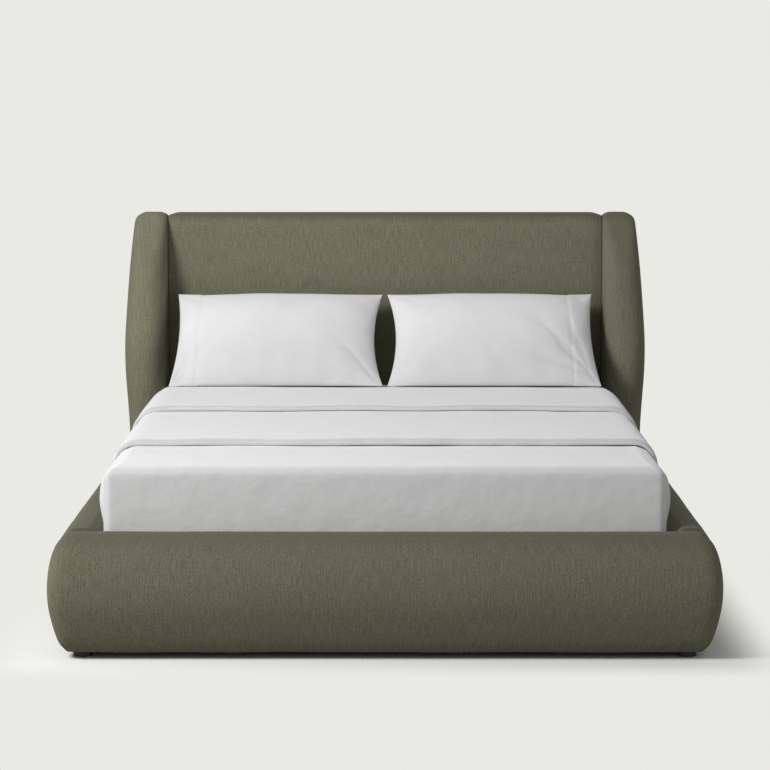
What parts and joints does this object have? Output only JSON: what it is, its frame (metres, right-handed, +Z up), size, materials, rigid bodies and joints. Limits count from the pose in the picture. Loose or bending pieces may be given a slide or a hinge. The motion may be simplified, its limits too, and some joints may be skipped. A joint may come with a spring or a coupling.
{
  "type": "upholstered bed",
  "caption": "Upholstered wing-back bed with padded rails, slats, a low box spring, a mattress in white bedding and leaning pillows.",
  "frame": {"origin": "on the floor, under the middle of the bed's overall box", "axes": "+X to the right seen from the foot, +Y towards the headboard, +Z up"},
  "size_m": [1.84, 2.341, 1.109],
  "materials": {
    "bed_linen": "matte",
    "black_plastic": "matte",
    "bolt_steel": "satin",
    "bracket_steel": "satin",
    "dust_cloth": "matte",
    "felt": "matte",
    "filling": "matte",
    "foam": "matte",
    "plywood": "satin",
    "spring_pockets": "matte",
    "spring_wire": "satin",
    "ticking": "matte",
    "timber": "satin",
    "upholstery": "matte"
  },
  "bodies": {
    "bed_frame": {"beam_hangers": "bracket_steel", "centre_beam": "timber", "centre_leg_1": "timber", "centre_leg_2": "timber", "centre_leg_3": "timber", "corner_brackets": "bracket_steel", "foot_back_left": "black_plastic", "foot_back_right": "black_plastic", "foot_front_left": "black_plastic", "foot_front_right": "black_plastic", "foot_rail_cover": "upholstery", "foot_rail_frame": "timber", "foot_rail_padding": "foam", "head_joint_plates": "bracket_steel", "headboard_cover": "upholstery", "headboard_crossbars": "timber", "headboard_padding": "foam", "headboard_panel": "plywood", "headboard_posts": "timber", "joint_bolts": "bolt_steel", "ledger_left": "timber", "ledger_right": "timber", "side_rail_left_cover": "upholstery", "side_rail_left_frame": "timber", "side_rail_left_padding": "foam", "side_rail_right_cover": "upholstery", "side_rail_right_frame": "timber", "side_rail_right_padding": "foam", "slats": "timber", "wing_left_cover": "upholstery", "wing_left_frame": "timber", "wing_left_padding": "foam", "wing_right_cover": "upholstery", "wing_right_frame": "timber", "wing_right_padding": "foam"},
    "box_spring": {"box_spring_boards": "timber", "box_spring_cover": "ticking", "box_spring_dust_cloth": "dust_cloth", "box_spring_felt": "felt", "box_spring_frame": "timber", "box_spring_grid": "spring_wire", "box_spring_modules": "spring_wire"},
    "mattress": {"bed_cover": "bed_linen", "duvet": "bed_linen", "duvet_fold": "bed_linen", "fitted_sheet": "bed_linen", "mattress_base_felt": "felt", "mattress_comfort_foam": "foam", "mattress_cover": "ticking", "mattress_edge_foam": "foam", "mattress_pocket_springs": "spring_pockets"},
    "pillow_left": {"pillow_left_case": "bed_linen", "pillow_left_filling": "filling"},
    "pillow_right": {"pillow_right_case": "bed_linen", "pillow_right_filling": "filling"},
    "glide_1": {"levelling_glide_1": "black_plastic"},
    "glide_2": {"levelling_glide_2": "black_plastic"},
    "glide_3": {"levelling_glide_3": "black_plastic"}
  },
  "joints": [
    {"name": "box_spring_lift", "type": "slide", "parent": "bed_frame", "child": "box_spring", "axis": [0, 0, 1], "range_m": [0, 0.3]},
    {"name": "mattress_lift", "type": "slide", "parent": "box_spring", "child": "mattress", "axis": [0, 0, 1], "range_m": [0, 0.3]},
    {"name": "pillow_left_lift", "type": "slide", "parent": "mattress", "child": "pillow_left", "axis": [0, 0, 1], "range_m": [0, 0.35]},
    {"name": "pillow_right_lift", "type": "slide", "parent": "mattress", "child": "pillow_right", "axis": [0, 0, 1], "range_m": [0, 0.35]},
    {"name": "glide_1_screw", "type": "slide", "parent": "bed_frame", "child": "glide_1", "axis": [0, 0, -1], "range_m": [0, 0.01]},
    {"name": "glide_2_screw", "type": "slide", "parent": "bed_frame", "child": "glide_2", "axis": [0, 0, -1], "range_m": [0, 0.01]},
    {"name": "glide_3_screw", "type": "slide", "parent": "bed_frame", "child": "glide_3", "axis": [0, 0, -1], "range_m": [0, 0.01]}
  ]
}
